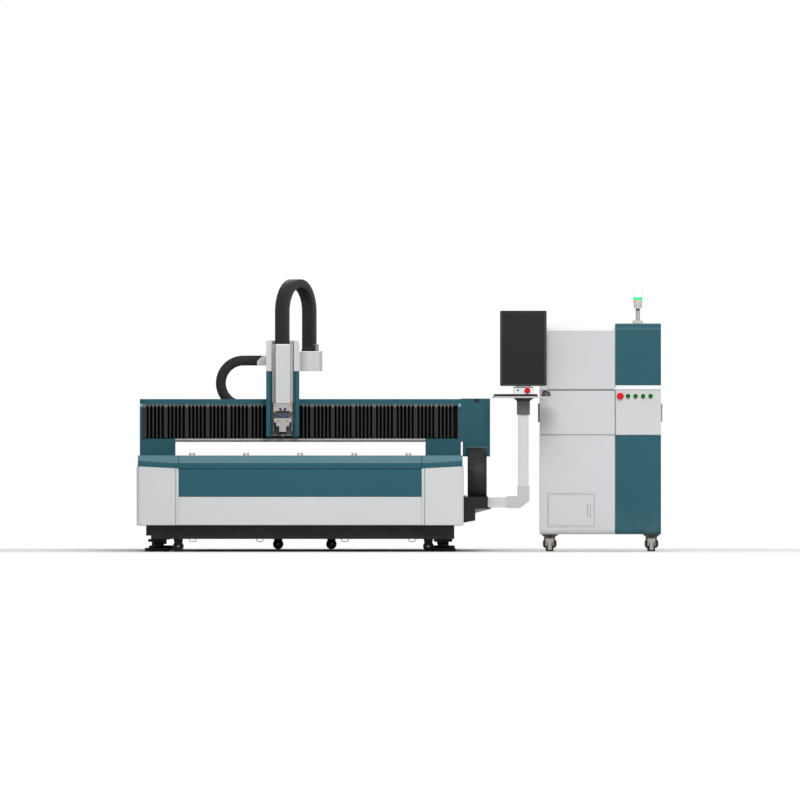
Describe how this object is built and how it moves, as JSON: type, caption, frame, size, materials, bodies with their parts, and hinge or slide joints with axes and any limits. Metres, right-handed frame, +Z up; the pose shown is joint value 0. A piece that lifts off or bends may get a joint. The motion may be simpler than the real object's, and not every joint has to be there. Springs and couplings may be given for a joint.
{
  "type": "fiber laser cutting machine",
  "caption": "Open-bed sheet laser cutter: slatted table, bellows-covered gantry, carriage with a vertical cutting head, cable chains, swivelling operator console and a wheeled control cabinet.",
  "frame": {"origin": "centre of the bounding box's bottom face, on the floor", "axes": "+X to the right seen from the operator, +Y along the bed towards its rear, +Z up"},
  "size_m": [3.68, 4.2, 1.9059],
  "materials": {
    "teal_paint": "satin",
    "grey_paint": "satin",
    "white_paint": "satin",
    "black_paint": "matt",
    "dark_paint": "satin",
    "steel": "brushed",
    "aluminium": "anodised",
    "copper": "polished",
    "rubber": "matt",
    "chain_plastic": "moulded",
    "bellows_fabric": "woven",
    "black_plastic": "moulded",
    "red_plastic": "gloss",
    "green_plastic": "gloss",
    "lamp_plastic": "translucent"
  },
  "bodies": {
    "bed": {"arm_boom": "grey_paint", "arm_post": "grey_paint", "base_frame": "black_paint", "bed_cross_walls": "teal_paint", "bed_left_wall": "teal_paint", "bed_right_wall": "teal_paint", "button_panel": "grey_paint", "cabinet_accent_panels": "teal_paint", "cabinet_body": "white_paint", "cabinet_grey_panels": "grey_paint", "front_accent_panel": "teal_paint", "front_corners": "grey_paint", "front_ledge": "teal_paint", "front_lower_panel": "grey_paint", "levelling_feet": "black_paint", "rear_castor_forks": "steel", "scrap_hopper": "steel", "sheet_stops": "steel", "slats": "steel", "tower_lamp": "lamp_plastic", "tower_stand": "grey_paint", "y_chain": "chain_plastic", "y_chain_trough": "black_paint", "y_rails": "steel"},
    "gantry": {"gantry_legs": "teal_paint", "beam": "teal_paint", "beam_sill": "dark_paint", "drive_housing": "teal_paint", "bellows_left": "bellows_fabric", "bellows_right": "bellows_fabric", "x_chain": "chain_plastic"},
    "carriage": {"carriage_frame": "teal_paint", "carriage_hood": "grey_paint", "z_chain": "chain_plastic"},
    "head": {"cutting_head": "aluminium", "head_cover": "grey_paint", "nozzle": "copper"},
    "console": {"console_swivel": "dark_paint", "console_tray": "grey_paint", "control_box": "white_paint", "monitor": "black_plastic", "keyboard": "black_plastic", "mouse": "black_plastic"},
    "console_stop": {"console_stop_button": "red_plastic"},
    "cabinet_stop": {"cabinet_stop_button": "red_plastic"},
    "door": {"access_door": "grey_paint"},
    "start_1": {"start_button_1": "green_plastic"},
    "bed_wheel_1": {"bed_castor_wheel_1": "rubber"},
    "start_2": {"start_button_2": "green_plastic"},
    "bed_wheel_2": {"bed_castor_wheel_2": "rubber"},
    "start_3": {"start_button_3": "green_plastic"},
    "bed_wheel_3": {"bed_castor_wheel_3": "rubber"},
    "start_4": {"start_button_4": "green_plastic"},
    "bed_wheel_4": {"bed_castor_wheel_4": "rubber"},
    "castor_left": {"castor_fork_left": "steel"},
    "wheel_left": {"castor_wheel_left": "rubber"},
    "rear_wheel_left": {"rear_castor_wheel_left": "rubber"},
    "castor_right": {"castor_fork_right": "steel"},
    "wheel_right": {"castor_wheel_right": "rubber"},
    "rear_wheel_right": {"rear_castor_wheel_right": "rubber"}
  },
  "joints": [
    {"name": "gantry_slide", "type": "slide", "parent": "bed", "child": "gantry", "axis": [0, 1, 0], "range_m": [0, 2.9], "deforming": ["y_chain"]},
    {"name": "carriage_slide", "type": "slide", "parent": "gantry", "child": "carriage", "axis": [1, 0, 0], "range_m": [-0.636, 0.885], "deforming": ["bellows_left", "bellows_right", "x_chain"]},
    {"name": "head_slide", "type": "slide", "parent": "carriage", "child": "head", "axis": [0, 0, 1], "range_m": [-0.1, 0.02], "deforming": ["z_chain"]},
    {"name": "console_swivel", "type": "hinge", "parent": "bed", "child": "console", "pos_m": [0.863, -1.78, 0.9958], "axis": [0, 0, 1], "range_deg": [-90, 90]},
    {"name": "console_stop_push", "type": "slide", "parent": "console", "child": "console_stop", "axis": [0, 1, 0], "range_m": [0, 0.005]},
    {"name": "cabinet_stop_push", "type": "slide", "parent": "bed", "child": "cabinet_stop", "axis": [0, 1, 0], "range_m": [0, 0.005]},
    {"name": "start_push_1", "type": "slide", "parent": "bed", "child": "start_1", "axis": [0, 1, 0], "range_m": [0, 0.005], "stiffness_N_per_m": 400},
    {"name": "start_push_2", "type": "slide", "parent": "bed", "child": "start_2", "axis": [0, 1, 0], "range_m": [0, 0.005], "stiffness_N_per_m": 400},
    {"name": "start_push_3", "type": "slide", "parent": "bed", "child": "start_3", "axis": [0, 1, 0], "range_m": [0, 0.005], "stiffness_N_per_m": 400},
    {"name": "start_push_4", "type": "slide", "parent": "bed", "child": "start_4", "axis": [0, 1, 0], "range_m": [0, 0.005], "stiffness_N_per_m": 400},
    {"name": "access_door_hinge", "type": "hinge", "parent": "bed", "child": "door", "pos_m": [1.042, -1.466, 0.288], "axis": [0, 0, 1], "range_deg": [-95, 0]},
    {"name": "castor_swivel_left", "type": "hinge", "parent": "bed", "child": "castor_left", "pos_m": [1.049, -1.38, 0.08335], "axis": [0, 0, 1], "continuous": true},
    {"name": "castor_roll_left", "type": "hinge", "parent": "castor_left", "child": "wheel_left", "pos_m": [1.049, -1.358, 0.037], "axis": [1, 0, 0], "continuous": true},
    {"name": "rear_castor_roll_left", "type": "hinge", "parent": "bed", "child": "rear_wheel_left", "pos_m": [1.049, -0.778, 0.037], "axis": [1, 0, 0], "continuous": true},
    {"name": "castor_swivel_right", "type": "hinge", "parent": "bed", "child": "castor_right", "pos_m": [1.762, -1.38, 0.08335], "axis": [0, 0, 1], "continuous": true},
    {"name": "castor_roll_right", "type": "hinge", "parent": "castor_right", "child": "wheel_right", "pos_m": [1.762, -1.358, 0.037], "axis": [1, 0, 0], "continuous": true},
    {"name": "rear_castor_roll_right", "type": "hinge", "parent": "bed", "child": "rear_wheel_right", "pos_m": [1.762, -0.778, 0.037], "axis": [1, 0, 0], "continuous": true},
    {"name": "bed_castor_roll_1", "type": "hinge", "parent": "bed", "child": "bed_wheel_1", "pos_m": [-1.5505, -1.812, 0.0375], "axis": [0, 1, 0], "continuous": true},
    {"name": "bed_castor_roll_2", "type": "hinge", "parent": "bed", "child": "bed_wheel_2", "pos_m": [0.1985, -1.812, 0.0375], "axis": [0, 1, 0], "continuous": true},
    {"name": "bed_castor_roll_3", "type": "hinge", "parent": "bed", "child": "bed_wheel_3", "pos_m": [-0.8655, 1.932, 0.0375], "axis": [0, 1, 0], "continuous": true},
    {"name": "bed_castor_roll_4", "type": "hinge", "parent": "bed", "child": "bed_wheel_4", "pos_m": [-0.4875, 1.932, 0.0375], "axis": [0, 1, 0], "continuous": true}
  ]
}
